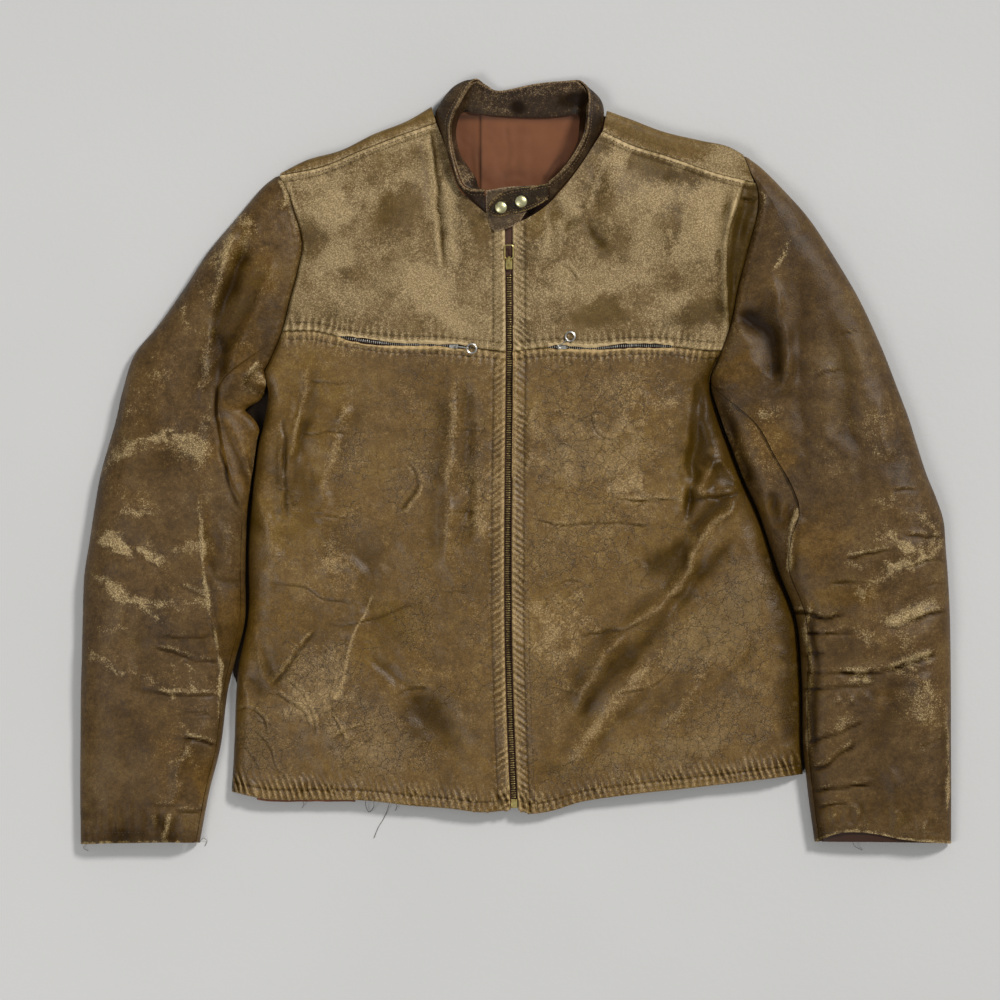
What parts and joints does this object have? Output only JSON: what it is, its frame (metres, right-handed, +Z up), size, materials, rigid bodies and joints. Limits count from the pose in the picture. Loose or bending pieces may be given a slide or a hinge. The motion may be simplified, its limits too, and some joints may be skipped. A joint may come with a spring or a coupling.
{
  "type": "worn leather jacket, laid flat",
  "caption": "Zip-front leather jacket lying on its back, arms down, with a chest yoke seam, two chest pocket zips, a band collar closed by a snapped strap, and worn, creased sleeves.",
  "frame": {"origin": "on the floor, under the middle of the jacket's bounding box", "axes": "+X to the wearer's left, +Y towards the collar, +Z up from the floor the jacket lies on"},
  "size_m": [0.7955, 0.6984, 0.0383],
  "materials": {
    "leather_body": "worn satin",
    "leather_yoke": "rubbed matt",
    "leather_sleeve": "worn satin",
    "leather_collar": "worn satin",
    "lining_satin": "satin",
    "zip_tape": "woven",
    "brass": "tarnished",
    "nickel": "nickel plated"
  },
  "bodies": {
    "root": {"back": "leather_body", "collar": "leather_collar", "collar_facing": "leather_collar", "collar_strap": "leather_collar", "collar_under_end": "leather_collar", "front_left": "leather_body", "front_right": "leather_body", "lining_back": "lining_satin", "lining_cuff": "lining_satin", "lining_hem": "lining_satin", "main_zip": "zip_tape", "pocket_slider_left": "nickel", "pocket_slider_right": "nickel", "pocket_zip_left": "zip_tape", "pocket_zip_right": "zip_tape", "snap_1": "brass", "snap_2": "brass", "top_sleeve_left": "leather_sleeve", "top_sleeve_right": "leather_sleeve", "under_sleeve_left": "leather_sleeve", "under_sleeve_right": "leather_sleeve", "yoke_left": "leather_yoke", "yoke_right": "leather_yoke", "zip_box": "brass", "zip_slider": "brass"},
    "main_zip_pull": {"zip_pull": "brass"},
    "pocket_link_right": {"pocket_link_right": "nickel"},
    "pocket_link_left": {"pocket_link_left": "nickel"},
    "pocket_ring_right": {"pocket_ring_right": "nickel"},
    "pocket_ring_left": {"pocket_ring_left": "nickel"}
  },
  "joints": [
    {"name": "zip_pull_swing", "type": "hinge", "parent": "root", "child": "main_zip_pull", "pos_m": [-0.00603, 0.1855, 0.0293], "axis": [1, 0, 0], "range_deg": [0, 150]},
    {"name": "link_swing_right", "type": "hinge", "parent": "root", "child": "pocket_link_right", "pos_m": [-0.0534, 0.1054, 0.02867], "axis": [-0.1392, -0.9903, 0], "range_deg": [0, 110]},
    {"name": "ring_swing_right", "type": "hinge", "parent": "pocket_link_right", "child": "pocket_ring_right", "pos_m": [-0.04399, 0.10408, 0.02867], "axis": [-0.1392, -0.9903, 0], "range_deg": [0, 60]},
    {"name": "link_swing_left", "type": "hinge", "parent": "root", "child": "pocket_link_left", "pos_m": [0.0395, 0.1052, 0.02973], "axis": [0.6691, -0.7431, 0], "range_deg": [0, 110]},
    {"name": "ring_swing_left", "type": "hinge", "parent": "pocket_link_left", "child": "pocket_ring_left", "pos_m": [0.04656, 0.11156, 0.02973], "axis": [0.6691, -0.7431, 0], "range_deg": [0, 60]}
  ]
}
